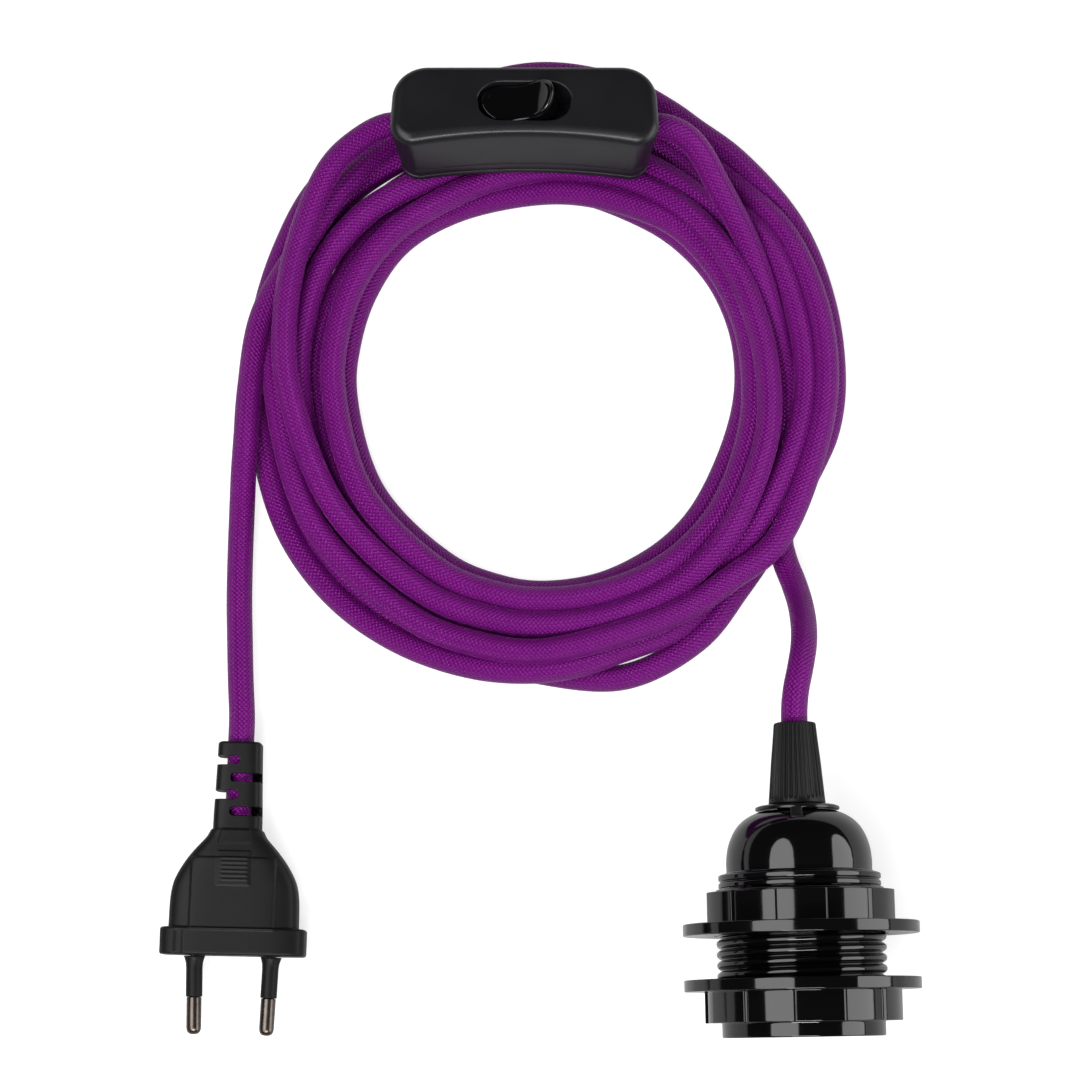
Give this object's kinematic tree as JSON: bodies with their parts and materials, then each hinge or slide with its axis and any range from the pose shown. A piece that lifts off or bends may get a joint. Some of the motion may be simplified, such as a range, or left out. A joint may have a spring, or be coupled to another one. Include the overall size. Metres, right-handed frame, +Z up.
{
  "type": "pendant light cord set",
  "caption": "Pendant light cord set with a screw-cap lamp holder and threaded shade rings, a coiled textile cord, an in-line rocker switch and a flat mains plug.",
  "frame": {"origin": "middle of the lamp holder's footprint on the surface that the set lies on", "axes": "+Y along the holder's axis, from its mouth towards the cord; +Z up from the surface; the coil and the plug lie towards -X"},
  "size_m": [0.1817, 0.2394, 0.0558],
  "materials": {
    "glossy_black": "polished thermoset moulding",
    "matt_black": "fine-textured moulding",
    "plug_black": "satin vinyl moulding",
    "purple_braid": "woven textile braid over a round flex",
    "ceramic": "glazed white ceramic",
    "brass": "bright stamped brass",
    "nickel": "dull nickel plating",
    "steel": "zinc-plated",
    "brown_core": "smooth insulation",
    "blue_core": "smooth insulation"
  },
  "bodies": {
    "set": {"cap": "glossy_black", "case_screw_left": "steel", "case_screw_right": "steel", "centre_contact": "brass", "contact_bridge": "brass", "cord_clamp_left": "matt_black", "cord_clamp_right": "matt_black", "cord_coil": "purple_braid", "cord_grip_nut": "matt_black", "cord_grip_stem": "matt_black", "cord_switch_left": "purple_braid", "cord_switch_right": "purple_braid", "cord_to_holder": "purple_braid", "cord_to_plug": "purple_braid", "core_blue": "blue_core", "core_brown": "brown_core", "line_screw_left": "steel", "line_screw_right": "steel", "line_terminal_left": "brass", "line_terminal_right": "brass", "lock_nut": "steel", "neutral_link": "brass", "neutral_screw_left": "steel", "neutral_screw_right": "steel", "pin_left": "nickel", "pin_right": "nickel", "pin_sleeve_left": "plug_black", "pin_sleeve_right": "plug_black", "plug_body": "plug_black", "rocker_spring": "steel", "side_contact": "brass", "switch_base": "matt_black", "switch_cover": "matt_black", "terminal_block": "ceramic", "terminal_screw_centre": "steel", "terminal_screw_side": "steel", "threaded_sleeve": "glossy_black"},
    "rocker": {"rocker": "glossy_black"},
    "ring_lower": {"shade_ring_lower": "glossy_black"},
    "ring_upper": {"shade_ring_upper": "glossy_black"}
  },
  "joints": [
    {"name": "rocker_tilt", "type": "hinge", "parent": "set", "child": "rocker", "pos_m": [-0.06192, 0.19039, 0.02647], "axis": [0.0168, 0.9611, -0.2756], "range_deg": [0, 32]},
    {"name": "lower_ring_travel", "type": "slide", "parent": "set", "child": "ring_lower", "axis": [0, 1, 0], "range_m": [-0.003, 0.0045]},
    {"name": "upper_ring_travel", "type": "slide", "parent": "set", "child": "ring_upper", "axis": [0, 1, 0], "range_m": [-0.0045, 0.0006]}
  ]
}
